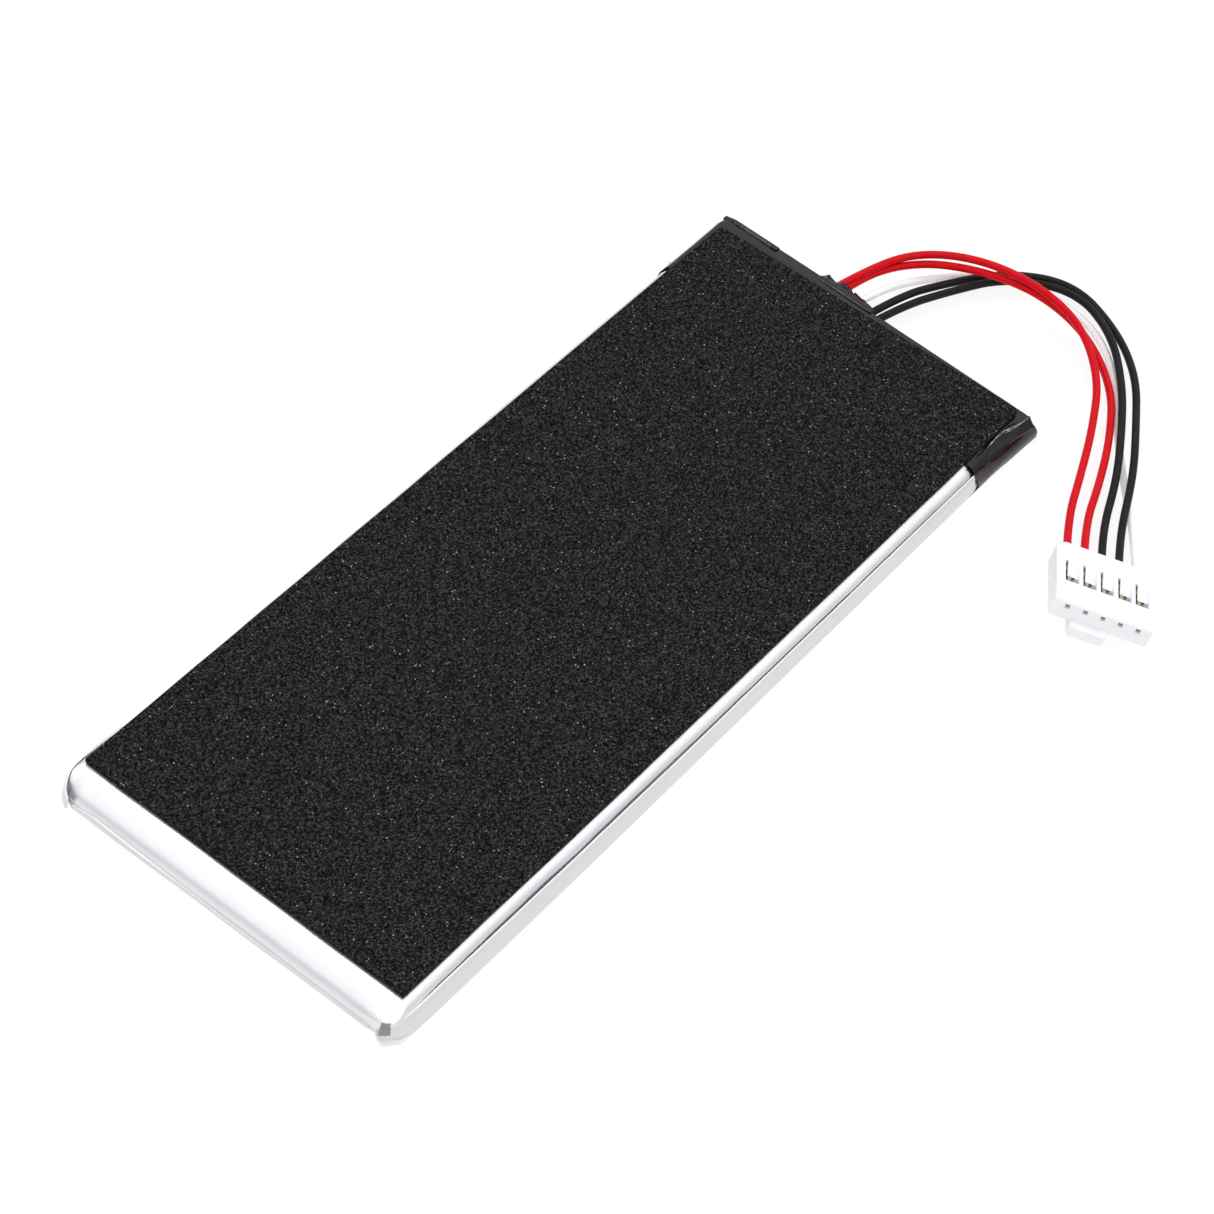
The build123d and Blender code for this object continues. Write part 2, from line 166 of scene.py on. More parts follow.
def sheet_patch(name, rows, thickness, material, replaced, smooth_angle=60):
    """Thin sheet through a grid of points, given its thickness half to each side."""
    points = [p for row in rows for p in row]
    faces = grid_faces(len(rows[0]) - 1, len(rows) - 1)
    piece = new_piece(name, points, faces, material, replaced, smooth_angle)
    solid = piece.modifiers.new("thickness", "SOLIDIFY")
    solid.thickness = thickness * MM
    solid.offset = 0
    graph = bpy.context.evaluated_depsgraph_get()
    mesh = bpy.data.meshes.new_from_object(piece.evaluated_get(graph))
    piece.modifiers.clear()
    piece.data = mesh


# ---- materials ----
def set_stops(band, stops):
    """Gives a colour ramp its (position, colour or grey) stops."""
    while len(band) < len(stops):
        band.new(0.5)
    for element, (position, colour) in zip(band, stops):
        element.position = position
        element.color = (*colour, 1) if hasattr(colour, "__len__") else (colour, colour, colour, 1)


class Shading:
    """A node material with small helpers for its links."""

    def __init__(self, name):
        self.material = bpy.data.materials.new(name)
        self.material.use_nodes = True
        self.nodes = self.material.node_tree.nodes
        self.links = self.material.node_tree.links
        self.shader = self.nodes["Principled BSDF"]
        self.where = self.nodes.new("ShaderNodeTexCoord").outputs["Object"]

    def set(self, **values):
        for key, value in values.items():
            self.shader.inputs[key.replace("_", " ")].default_value = value

    def stretched(self, x, y, z):
        node = self.nodes.new("ShaderNodeMapping")
        node.inputs["Scale"].default_value = (x, y, z)
        self.links.new(self.where, node.inputs["Vector"])
        return node.outputs["Vector"]

    def noise(self, size_mm, detail=3.0, roughness=0.5, where=None):
        node = self.nodes.new("ShaderNodeTexNoise")
        node.inputs["Scale"].default_value = 1 / (size_mm * MM)
        node.inputs["Detail"].default_value = detail
        node.inputs["Roughness"].default_value = roughness
        self.links.new(where or self.where, node.inputs["Vector"])
        return node

    def cells(self, size_mm):
        node = self.nodes.new("ShaderNodeTexVoronoi")
        node.inputs["Scale"].default_value = 1 / (size_mm * MM)
        self.links.new(self.where, node.inputs["Vector"])
        return node

    def ramp(self, value, *stops):
        """Colours (or greys, where a stop has one number) along a value."""
        node = self.nodes.new("ShaderNodeValToRGB")
        set_stops(node.color_ramp.elements, stops)
        self.links.new(value, node.inputs["Fac"])
        return node.outputs["Color"]

    def mix(self, factor, a, b, kind="MIX"):
        """Mixed colour; each of the three values may be an output or a constant."""
        node = self.nodes.new("ShaderNodeMix")
        node.data_type = "RGBA"
        node.blend_type = kind
        wanted = {"Factor_Float": factor, "A_Color": a, "B_Color": b}
        for socket in node.inputs:
            if socket.identifier in wanted:
                value = wanted[socket.identifier]
                if isinstance(value, bpy.types.NodeSocket):
                    self.links.new(value, socket)
                elif hasattr(value, "__len__"):
                    socket.default_value = (*value, 1)
                else:
                    socket.default_value = value
        return [s for s in node.outputs if s.identifier == "Result_Color"][0]

    def maths(self, operation, a, b):
        node = self.nodes.new("ShaderNodeMath")
        node.operation = operation
        for socket, value in zip(node.inputs, (a, b)):
            if isinstance(value, bpy.types.NodeSocket):
                self.links.new(value, socket)
            else:
                socket.default_value = value
        return node.outputs["Value"]

    def bump(self, height, distance_mm, strength=1.0, under=None):
        node = self.nodes.new("ShaderNodeBump")
        node.inputs["Strength"].default_value = strength
        node.inputs["Distance"].default_value = distance_mm * MM
        self.links.new(height, node.inputs["Height"])
        if under:
            self.links.new(under, node.inputs["Normal"])
        return node.outputs["Normal"]

    def specks(self, size_mm, rarity, spread, falloff):
        """Mask of scattered dots of differing size and strength: higher rarity leaves fewer."""
        spots = self.cells(size_mm)
        drawn = self.nodes.new("ShaderNodeSeparateColor")
        self.links.new(spots.outputs["Color"], drawn.inputs["Color"])
        chosen = self.maths("GREATER_THAN", drawn.outputs["Red"], rarity)
        reach = self.maths("MULTIPLY", drawn.outputs["Green"], spread)
        inside = self.maths("LESS_THAN", spots.outputs["Distance"], reach)
        strength = self.maths("POWER", drawn.outputs["Blue"], falloff)
        return self.maths("MULTIPLY", self.maths("MULTIPLY", chosen, inside), strength)

    def colour(self, output):
        self.links.new(output, self.shader.inputs["Base Color"])

    def roughness(self, output):
        self.links.new(output, self.shader.inputs["Roughness"])

    def normal(self, output):
        self.links.new(output, self.shader.inputs["Normal"])


def sponge_material():
    """Black open-cell sponge: fine grain with a faint tint, and scattered pale specks of two sizes
    painted as the glints of its cells.
    """
    m = Shading("black_sponge")
    m.set(Specular_IOR_Level=0.04, Roughness=0.85)
    grain = m.noise(0.27, 4, 0.85)
    shade = m.ramp(grain.outputs["Fac"], (0.40, 0.0005), (0.5, 0.009), (0.63, 0.06))
    tint = m.noise(0.5, 2).outputs["Color"]
    warm = m.mix(0.4, (0.51, 0.495, 0.495), tint)
    tinted = m.mix(1.0, shade, m.mix(1.0, warm, (2.0, 2.0, 2.0), "MULTIPLY"), "MULTIPLY")
    # painted glints: pale specks stand in for light catching the cells
    painted_glints = m.specks(0.34, 0.82, 0.27, 1.2)
    painted_faint_glints = m.specks(0.17, 0.66, 0.46, 1.5)
    with_faint_glints = m.mix(painted_faint_glints, tinted, (0.13, 0.13, 0.13))
    m.colour(m.mix(painted_glints, with_faint_glints, (0.55, 0.55, 0.55)))
    pits = m.cells(0.3)
    coarse = m.bump(pits.outputs["Distance"], 0.1, 0.7)
    m.normal(m.bump(grain.outputs["Fac"], 0.12, 0.8, coarse))
    return m.material


def laminate_material(name, base, rough, metallic, dent=0.05):
    """Aluminium pouch laminate: satin silver with faint drawn lines and soft dents."""
    m = Shading(name)
    m.set(Metallic=metallic, Specular_IOR_Level=0.5)
    brushed = m.noise(0.35, 3, 0.6, m.stretched(0.12, 1.0, 1.0))
    dents = m.noise(5.0, 2, 0.5)
    m.colour(m.ramp(dents.outputs["Fac"], (0.3, tuple(c * 0.97 for c in base)), (0.7, base)))
    m.roughness(m.ramp(brushed.outputs["Fac"], (0.25, rough - 0.05), (0.75, rough + 0.06)))
    soft = m.bump(dents.outputs["Fac"], dent, 0.4)
    m.normal(m.bump(brushed.outputs["Fac"], 0.003, 0.12, soft))
    return m.material


def tape_material():
    """Glossy black film with fine creases and slight stretch marks."""
    m = Shading("black_tape")
    m.set(Specular_IOR_Level=0.34)
    stretch = m.noise(1.4, 3, 0.55, m.stretched(0.22, 1.0, 1.0))
    m.colour(m.ramp(
        stretch.outputs["Fac"], (0.3, (0.003, 0.003, 0.0035)), (0.7, (0.007, 0.0065, 0.0075))))
    fine = m.noise(0.16, 2, 0.5)
    m.roughness(m.ramp(m.noise(3.0, 2).outputs["Fac"], (0.3, 0.1), (0.7, 0.2)))
    creases = m.bump(stretch.outputs["Fac"], 0.08, 0.3)
    m.normal(m.bump(fine.outputs["Fac"], 0.006, 0.25, creases))
    return m.material


def insulation_material(name, colour, dark, rough=0.3, sheen=0.32):
    """Extruded wire insulation: smooth, with a faint blotchy grain."""
    m = Shading(name)
    m.set(Specular_IOR_Level=sheen)
    blotch = m.noise(1.6, 2)
    m.colour(m.ramp(blotch.outputs["Fac"], (0.3, dark), (0.7, colour)))
    m.roughness(m.ramp(m.noise(0.5, 3).outputs["Fac"], (0.3, rough - 0.05), (0.7, rough + 0.08)))
    m.normal(m.bump(m.noise(0.22, 3, 0.6).outputs["Fac"], 0.012, 0.35))
    return m.material


def nylon_material():
    """White moulded nylon, slightly translucent, with a faint cloudy grain."""
    m = Shading("white_nylon")
    m.set(Subsurface_Weight=0.12, Subsurface_Scale=0.0004, Specular_IOR_Level=0.4)
    m.shader.inputs["Subsurface Radius"].default_value = (1.0, 0.95, 0.9)
    cloud = m.noise(1.8, 3)
    m.colour(m.ramp(cloud.outputs["Fac"], (0.3, (0.80, 0.805, 0.825)), (0.7, (0.845, 0.845, 0.86))))
    m.roughness(m.ramp(m.noise(0.4, 2).outputs["Fac"], (0.3, 0.3), (0.7, 0.42)))
    m.normal(m.bump(m.noise(0.1, 2).outputs["Fac"], 0.006, 0.3))
    return m.material


def metal_material(name, base, rough, grain_mm=0.12):
    """Plain stamped or rolled metal with fine grain and slight tarnish."""
    m = Shading(name)
    m.set(Metallic=1.0)
    tarnish = m.noise(grain_mm * 8, 3)
    m.colour(m.ramp(tarnish.outputs["Fac"], (0.3, tuple(c * 0.72 for c in base)), (0.7, base)))
    m.roughness(m.ramp(m.noise(grain_mm * 2, 2).outputs["Fac"], (0.3, rough - 0.08), (0.7, rough + 0.1)))
    m.normal(m.bump(m.noise(grain_mm, 2).outputs["Fac"], grain_mm * 0.06, 0.4))
    return m.material


def matt_material(name, base, rough, grain_mm=0.2, contrast=0.15, depth=0.06):
    """Coatings, paper, board, films and other plain materials."""
    m = Shading(name)
    m.set(Specular_IOR_Level=0.3)
    grain = m.noise(grain_mm, 4, 0.6)
    m.colour(m.ramp(
        grain.outputs["Fac"], (0.3, tuple(c * (1 - contrast) for c in base)),
        (0.7, tuple(min(1.0, c * (1 + contrast)) for c in base))))
    patches = m.noise(grain_mm * 3, 2)
    m.roughness(m.ramp(patches.outputs["Fac"], (0.3, rough - 0.06), (0.7, rough + 0.06)))
    m.normal(m.bump(grain.outputs["Fac"], grain_mm * depth, 0.5))
    return m.material


sponge = sponge_material()
pouch_silver = laminate_material("pouch_laminate", (0.80, 0.81, 0.825), 0.36, 1.0)
flange_silver = laminate_material("pouch_flange", (0.72, 0.72, 0.725), 0.45, 0.7, 0.1)
# dark laminate colour for the painted shade at the near right corner
painted_shade_silver = laminate_material("painted_shade_laminate", (0.30, 0.30, 0.31), 0.4, 1.0)
black_tape = tape_material()
nylon = nylon_material()
red_insulation = insulation_material(
    "red_insulation", (0.62, 0.002, 0.009), (0.55, 0.001, 0.006), 0.34, 0.1)
black_insulation = insulation_material(
    "black_insulation", (0.012, 0.0115, 0.012), (0.008, 0.0075, 0.008), 0.38, 0.12)
white_insulation = insulation_material("white_insulation", (0.90, 0.90, 0.91), (0.86, 0.86, 0.87))

slot_materials = {
    "pouch_laminate": pouch_silver,
    "black_tape": black_tape,
    "black_sponge": sponge,
    "white_nylon": nylon,
    "red_insulation": red_insulation,
    "black_insulation": black_insulation,
    "white_insulation": white_insulation,
    "contact_brass": metal_material("contact_brass", (0.50, 0.38, 0.26), 0.3, 0.05),
    "nickel": metal_material("nickel", (0.70, 0.68, 0.64), 0.3),
    "solder": metal_material("solder", (0.72, 0.73, 0.74), 0.25),
    "tinned_copper": metal_material("tinned_copper", (0.76, 0.72, 0.68), 0.3),
    "aluminium_foil": metal_material("aluminium_foil", (0.88, 0.88, 0.89), 0.3),
    "copper_foil": metal_material("copper_foil", (0.82, 0.42, 0.26), 0.3),
    "graphite": matt_material("graphite", (0.022, 0.022, 0.024), 0.6, 0.1),
    "cathode_coating": matt_material("cathode_coating", (0.012, 0.012, 0.013), 0.7, 0.08),
    "separator_film": matt_material("separator_film", (0.82, 0.83, 0.83), 0.45, 0.3, 0.05),
    "stack_tape": matt_material("stack_tape", (0.62, 0.36, 0.06), 0.3, 0.6, 0.08),
    "tab_film": matt_material("tab_film", (0.72, 0.66, 0.52), 0.4, 0.4, 0.08),
    "insulating_paper": matt_material("insulating_paper", (0.70, 0.67, 0.55), 0.7, 0.15),
    "circuit_board": matt_material("circuit_board", (0.012, 0.11, 0.035), 0.35, 0.5, 0.2),
    "chip_body": matt_material("chip_body", (0.015, 0.015, 0.017), 0.5, 0.1),
    "ceramic_chip": matt_material("ceramic_chip", (0.32, 0.2, 0.11), 0.45, 0.1),
    "adhesive": matt_material("adhesive", (0.035, 0.006, 0.006), 0.5, 0.3, 0.3),
}


# ---- camera, light and floor ----
bpy.context.scene.view_settings.view_transform = "Standard"

camera_azimuth = math.radians(27.08)
camera_elevation = math.radians(48.92)
camera_roll = math.radians(13.62)
camera_distance = 444.15
camera_target = Vector((2.63, -3.39, 0.0))

forward = Vector((
    math.cos(camera_azimuth) * math.cos(camera_elevation),
    math.sin(camera_azimuth) * math.cos(camera_elevation), -math.sin(camera_elevation)))
level_right = Vector((math.sin(camera_azimuth), -math.cos(camera_azimuth), 0))
level_up = level_right.cross(forward)
right = level_right * math.cos(camera_roll) + level_up * math.sin(camera_roll)
up = level_up * math.cos(camera_roll) - level_right * math.sin(camera_roll)
eye = (camera_target - forward * camera_distance) * MM
camera_data = bpy.data.cameras.new("camera")
camera_data.lens = 127.38
camera_data.sensor_width = 36.0
camera_data.clip_start = 0.01
camera_data.clip_end = 20.0
camera = bpy.data.objects.new("camera", camera_data)
bpy.context.scene.collection.objects.link(camera)
camera.matrix_world = Matrix((
    (right.x, up.x, -forward.x, eye.x),
    (right.y, up.y, -forward.y, eye.y),
    (right.z, up.z, -forward.z, eye.z),
    (0, 0, 0, 1)))
bpy.context.scene.camera = camera

world = bpy.data.worlds.new("studio")
bpy.context.scene.world = world
world.use_nodes = True
world_nodes = world.node_tree.nodes
world_links = world.node_tree.links
direction = world_nodes.new("ShaderNodeTexCoord")
split = world_nodes.new("ShaderNodeSeparateXYZ")
gradient = world_nodes.new("ShaderNodeValToRGB")
world_links.new(direction.outputs["Generated"], split.inputs["Vector"])
world_links.new(split.outputs["Z"], gradient.inputs["Fac"])
world_links.new(gradient.outputs["Color"], world_nodes["Background"].inputs["Color"])
# a bright studio: white above, grey low down and below
set_stops(gradient.color_ramp.elements, [
    (0.0, (0.42, 0.42, 0.44)), (0.25, (0.52, 0.52, 0.54)), (0.45, (0.8, 0.8, 0.81)),
    (0.62, (0.98, 0.98, 0.98)), (1.0, (1.0, 1.0, 1.0))])
world_nodes["Background"].inputs["Strength"].default_value = 1.32


def area_light(name, position, size, power):
    """Round lamp aimed at the middle of the scene; position and size are metres."""
    data = bpy.data.lights.new(name, "AREA")
    data.shape = "DISK"
    data.size = size
    data.energy = power
    light = bpy.data.objects.new(name, data)
    light.location = position
    light.rotation_euler = (-Vector(position)).to_track_quat("-Z", "Y").to_euler()
    bpy.context.scene.collection.objects.link(light)


area_light("lamp_high", (0.35, 0.3, 0.85), 0.14, 0.7)
area_light("lamp_side", (-0.2, -0.7, 0.8), 0.2, 0.35)

floor_size = 4.0        # metres from the middle to each side
floor_mesh = bpy.data.meshes.new("floor")
floor_mesh.from_pydata([
    (-floor_size, -floor_size, 0), (floor_size, -floor_size, 0),
    (floor_size, floor_size, 0), (-floor_size, floor_size, 0)], [], [(0, 1, 2, 3)])
floor = bpy.data.objects.new("floor", floor_mesh)
bpy.context.scene.collection.objects.link(floor)
floor_shade = Shading("floor_paper")
floor_shade.set(Specular_IOR_Level=0.0, Roughness=0.9, Emission_Strength=0.84)
floor_shade.shader.inputs["Emission Color"].default_value = (1, 1, 1, 1)
floor_shade.colour(floor_shade.ramp(
    floor_shade.noise(30, 2).outputs["Fac"], (0.3, (0.165, 0.165, 0.165)), (0.7, (0.175, 0.175, 0.175))))
floor_mesh.materials.append(floor_shade.material)


# ---- wires ----
wire_diameter = 0.9
pin_count = 5
pin_pitch = 2.0
wire_drop = 0.95        # the wires' axis below the connector's origin
crimp_end = 8.5         # depth at which a wire's core ends in its crimp
wire_lead_in = 6.5      # straight run of wire behind that
connector_origin = Vector((35.2, -43.6, 5.2))
connector_row = Vector((0.473, -0.863, -0.178)).normalized()
connector_top = connector_row.cross(Vector((0.847, 0.501, -0.179))).normalized()
connector_back = connector_top.cross(connector_row)


def in_connector(x, y, z):
    """Point in the connector's own axes: row, depth behind the front face, height."""
    return connector_origin + connector_row * x + connector_back * y + connector_top * z


# each wire: its place in the row, its slot, its length along the CAD path, and the points that steer it
wire_routes = {
    "wire_red_1": (-2, "red_insulation", 71.4, [
        (52.6, 6.6, 1.65), (59.4, 4.8, 2.7), (66.0, 2.1, 3.3), (70.1, -3.6, 3.8),
        (71.6, -10.8, 4.0), (70.8, -17.7, 3.3), (66.3, -23.4, 2.2), (59.8, -26.9, 1.6),
        (53.4, -29.6, 1.7)]),
    "wire_red_2": (-1, "red_insulation", 71.4, [
        (52.6, 5.3, 1.65), (59.6, 4.85, 2.0), (66.0, 1.25, 2.5), (69.8, -4.9, 2.95),
        (71.8, -11.8, 2.85), (71.1, -18.8, 2.0), (67.0, -25.0, 1.2), (61.0, -28.7, 1.0),
        (54.4, -31.6, 1.3)]),
    "wire_black_1": (0, "black_insulation", 70.7, [
        (52.6, 0.3, 1.65), (59.4, -0.95, 1.6), (65.9, -3.6, 1.4), (72.3, -6.9, 1.4),
        (76.5, -13.8, 1.5), (73.7, -20.5, 1.6), (67.8, -25.8, 1.6), (61.8, -29.5, 1.7),
        (55.4, -33.0, 1.6)]),
    "wire_black_2": (1, "black_insulation", 75.9, [
        (52.6, 1.4, 1.65), (60.0, -0.2, 2.3), (66.6, -2.4, 1.2), (73.4, -6.2, 1.0),
        (77.3, -13.0, 1.5), (75.3, -20.4, 0.8), (70.3, -26.1, 1.4), (63.7, -30.2, 1.7),
        (57.0, -34.1, 1.95)]),
    "wire_white": (2, "white_insulation", 75.5, [
        (52.6, 3.3, 1.65), (60.0, 2.4, 1.6), (67.4, -0.8, 0.5), (72.6, -5.4, 0.6),
        (74.9, -12.4, 0.5), (73.6, -19.4, 0.5), (68.2, -25.1, 0.5), (61.9, -29.2, 0.5),
        (56.0, -34.0, 0.5)]),
}

wires = []
for wire_name, (row_place, insulation, wire_length, points) in wire_routes.items():
    lead_in = in_connector(row_place * pin_pitch, crimp_end + wire_lead_in, -wire_drop)
    crimp = in_connector(row_place * pin_pitch, crimp_end, -wire_drop)
    route = [Vector(p) for p in points] + [lead_in, crimp]
    curve = bpy.data.curves.new(wire_name, "CURVE")
    curve.dimensions = "3D"
    curve.bevel_depth = wire_diameter / 2 * MM
    curve.bevel_resolution = 6
    curve.resolution_u = 16
    curve.use_fill_caps = True
    spline = curve.splines.new("NURBS")
    spline.points.add(len(route) - 1)
    for control, point in zip(spline.points, route):
        control.co = (*(point * MM), 1)
    spline.order_u = 3
    spline.use_endpoint_u = True
    curve.materials.append(slot_materials[insulation])
    wire = bpy.data.objects.new(wire_name + "_cord", curve)
    bpy.context.scene.collection.objects.link(wire)
    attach(wire, BODY)
    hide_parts(wire_name)
    wires.append((wire, points[0], wire_length))


# ---- sponge pad ----
foam_bottom = 3.1
foam_top = 3.6
foam_corners = [(-51.95, 20.1), (-51.95, -20.1), (54.4, -20.15), (53.15, 19.8)]
foam_roundings = [0.25, 0.15, 0.7, 0.8]     # one for each corner
foam_bows = [0.0, 0.15, 0.05, 0.0]          # how far the middle of each side stands out
foam_short_steps = 80
foam_long_steps = 212
foam_corner_reach = 4                       # points on each side of a corner that its rounding moves
foam_rim_inset = 0.09
# cut face from the bottom up, as (inset, height)
foam_wall = [(0.02, 0.0), (-0.01, 0.12), (-0.02, 0.3), (0.0, 0.42), (0.03, 0.475)]


def foam_edge(start, end, bow, count, seed):
    """Points of the pad's cut edge between two corners, bowed and wavy."""
    direction = Vector(end) - Vector(start)
    side = Vector((direction.y, -direction.x)).normalized()
    for i in range(count):
        t = i / count
        run = t * direction.length
        wave = ripple((run, seed, 0), 9.0, 0.09) + ripple((run, seed, 5), 1.6, 0.012)
        fade = min(1.0, 8 * t, 8 * (1 - t))
        yield Vector(start) + direction * t + side * (bow * 4 * t * (1 - t) + wave * fade)


def foam_pad():
    """Sponge pad: a wall of rings round a slightly uneven top grid, closed below."""
    counts = [foam_short_steps, foam_long_steps] * 2
    outline = []
    roundings = {}
    for index, (count, bow) in enumerate(zip(counts, foam_bows)):
        roundings[len(outline)] = foam_roundings[index]
        start = foam_corners[index]
        end = foam_corners[(index + 1) % 4]
        outline.extend(foam_edge(start, end, bow, count, index * 11.3))
    outline = rounded_corners(outline, roundings, foam_corner_reach)
    inward = []
    for i in range(len(outline)):
        tangent = outline[(i + 1) % len(outline)] - outline[i - 1]
        inward.append(Vector((-tangent.y, tangent.x)).normalized())
    rings = [
        [(*(p + n * inset), foam_bottom + height) for p, n in zip(outline, inward)]
        for inset, height in foam_wall]
    rim = [p + n * foam_rim_inset for p, n in zip(outline, inward)]
    sides = loft(rings, caps=False)
    edge = loft([rings[-1], [(p.x, p.y, foam_surface(p)) for p in rim]], caps=False)
    top = filled_grid(rim, foam_short_steps, foam_long_steps)
    bottom = (rings[0], [tuple(range(len(outline)))])
    vertices, faces = joined(sides, edge, top, bottom)
    piece = new_piece("foam_pad_sponge", vertices, faces, sponge, ["foam_pad"], 60)


def foam_surface(p):
    """Height of the sponge's face, which dips a little in places and never rises over its top."""
    dips = ripple((p.x, p.y, 3.0), 1.1, 0.02) + ripple((p.x, p.y, 9.0), 14.0, 0.03) - 0.01
    return foam_top + min(0.0, dips)


def filled_grid(rim, columns, rows):
    """Grid over a four-sided rim, which has columns, rows, columns, rows steps from its first corner."""
    first = rim[:columns + 1]
    second = rim[columns:columns + rows + 1]
    third = rim[columns + rows:2 * columns + rows + 1][::-1]
    fourth = (rim[2 * columns + rows:] + rim[:1])[::-1]
    vertices = []
    for j in range(rows + 1):
        v = j / rows
        for i in range(columns + 1):
            u = i / columns
            across = fourth[j] * (1 - u) + second[j] * u
            lengthwise = first[i] * (1 - v) + third[i] * v
            start_mix = first[0] * (1 - u) + first[-1] * u
            end_mix = third[0] * (1 - u) + third[-1] * u
            p = across + lengthwise - (start_mix * (1 - v) + end_mix * v)
            vertices.append((p.x, p.y, foam_surface(p)))
    return vertices, grid_faces(columns, rows)


def rounded_corners(outline, corners, reach):
    """Outline with its corners rounded; corners maps index to radius, reach counts points each way."""
    count = len(outline)
    result = [p.copy() for p in outline]
    for index, radius in corners.items():
        corner = outline[index]
        before = (outline[(index - 2 * reach) % count] - corner).normalized()
        after = (outline[(index + 2 * reach) % count] - corner).normalized()
        for step in range(-reach, reach + 1):
            t = (step + reach) / (2 * reach)
            a = corner + before * radius
            b = corner + after * radius
            arriving = a * (1 - t) + corner * t
            leaving = corner * (1 - t) + b * t
            result[(index + step) % count] = arriving * (1 - t) + leaving * t
    return result


foam_pad()


# ---- pouch: drawn cup ----
cup_near_x = near_fold_x + 0.1
cup_far_x = 50.6
cup_right_y = -21.4
cup_left_y = 20.55
# corner radii seen from above
right_radius = 1.7
left_radius = 2.4
far_radius = 2.0
least_radius = 0.25
radius_loss = 0.8           # how fast the near corners tighten as the rings move in
long_side_steps = 170
near_side_steps = 76
far_side_steps = 36
right_corner_steps = 20
left_corner_steps = 24
far_corner_steps = 10
shoulder_steps = 24
# how far each shoulder reaches in over the top, and how far it drops below the flat top
near_shoulder = 3.05
near_drop = 2.1
side_shoulder = 1.3
left_share = 0.7            # of the side shoulder's reach, on the left
left_drop = 0.4
right_drops = (0.75, 1.15)  # at the wire end and at the near end
# how much lower and further in the cup lies under the tape
tape_dip = 0.35
tape_inset = 1.0


def cup_ring(near_inset, right_inset, left_inset, far_inset):
    """Outline of the cup from above with each side moved in, as (point, outward direction) pairs."""
    near = cup_near_x + near_inset
    far = cup_far_x - far_inset
    right_y = cup_right_y + right_inset
    left_y = cup_left_y - left_inset
    right_corner = max(least_radius, right_radius - radius_loss * min(near_inset, right_inset))
    left_corner = max(least_radius, left_radius - radius_loss * min(near_inset, left_inset))
    ring = []

    def straight(start, end, normal, steps):
        ring.extend((Vector(start).lerp(Vector(end), i / steps), Vector(normal)) for i in range(steps))

    def turn(centre, radius, first, last, steps):
        for i in range(steps):
            angle = math.radians(lerp(first, last, i / steps))
            normal = Vector((math.cos(angle), math.sin(angle)))
            ring.append((Vector(centre) + normal * radius, normal))

    straight((far - far_radius, right_y), (near + right_corner, right_y), (0, -1), long_side_steps)
    turn((near + right_corner, right_y + right_corner), right_corner, 270, 180, right_corner_steps)
    straight((near, right_y + right_corner), (near, left_y - left_corner), (-1, 0), near_side_steps)
    turn((near + left_corner, left_y - left_corner), left_corner, 180, 90, left_corner_steps)
    straight((near + left_corner, left_y), (far - far_radius, left_y), (0, 1), long_side_steps)
    turn((far - far_radius, left_y - far_radius), far_radius, 90, 0, far_corner_steps)
    straight((far, left_y - far_radius), (far, right_y + far_radius), (1, 0), far_side_steps)
    turn((far - far_radius, right_y + far_radius), far_radius, 0, -90, far_corner_steps)
    return ring


def shoulder_shape(tilts):
    """Rounded shoulder from foot to flat top, as (inset, height) fractions; tilts are in degrees."""
    points = [(0.0, 0.0)]
    for i in range(shoulder_steps):
        tilt = math.radians(along(tilts, (i + 0.5) / shoulder_steps))
        points.append((points[-1][0] + math.cos(tilt), points[-1][1] + math.sin(tilt)))
    across, high = points[-1]
    return [(x / across, z / high) for x, z in points]


def pouch_cup():
    """Cup of laminate: steep walls, a broad rounded shoulder at the near end and tighter ones beside."""
    near_shape = shoulder_shape([(0, 68), (0.14, 60), (0.3, 42), (0.6, 30), (1, 1)])
    side_shape = shoulder_shape([(0, 70), (0.3, 58), (0.6, 38), (0.85, 16), (1, 2)])
    # rings as (step of the shoulder, fraction up the wall); over one, the rest is inset of the flat top
    profile = [(0, 0.0), (0, 0.5), (0, 0.9)]
    profile += [(i, 1.0) for i in range(shoulder_steps + 1)]
    profile += [(shoulder_steps, 1.2), (shoulder_steps, 1.4)]
    rings = []
    for step, wall in profile:
        on_top = wall > 1
        near_inset = near_shoulder * near_shape[step][0] + (wall - 1) * on_top
        side_inset = side_shoulder * side_shape[step][0] + (wall - 1) * on_top
        ring = []
        for foot, normal in cup_ring(near_inset, side_inset, side_inset * left_share, side_inset):
            nearness = smooth((-normal.x - 0.2) * 1.25) * smooth((foot.y + 21.2) / 6.5)
            side_drop = lerp(*right_drops, smooth((5 - foot.x) / 50)) if foot.y < 0 else left_drop
            drop = lerp(side_drop, near_drop, nearness)
            high = lerp(side_shape[step][1], near_shape[step][1], nearness)
            z = cup_top - drop * (1 - high)
            if wall < 1:
                z = lerp(cover_top, z, wall)
            under_tape = smooth((foot.x - tape_front_x + 0.7) / 1.3)
            wave = ripple((foot.x, foot.y, z * 0.4), 7.0, 0.05)
            wave += ripple((foot.x, foot.y, z * 0.4 + 7), 2.4, 0.012)
            z -= tape_dip * under_tape * (z - cover_top) / (cup_top - cover_top)
            if on_top:
                z += ripple((foot.x, foot.y, 1.0), 5.0, 0.02) - 0.02
                wave = 0.0
            p = foot + normal * (wave - tape_inset * under_tape)
            ring.append((p.x, p.y, z))
        rings.append(ring)
    vertices, faces = loft(rings)
    new_piece(
        "pouch_cup_foil", vertices, faces, pouch_silver, ["pouch_cup"], 50)


pouch_cup()


# ---- pouch: cover with its folded edges ----
flange_thickness = 0.16      # the seal is laminate folded double
flange_spacing = 0.45
flange_levels = 5            # points up each face of the flange
lip_points = 90
ear_thickness = 0.14


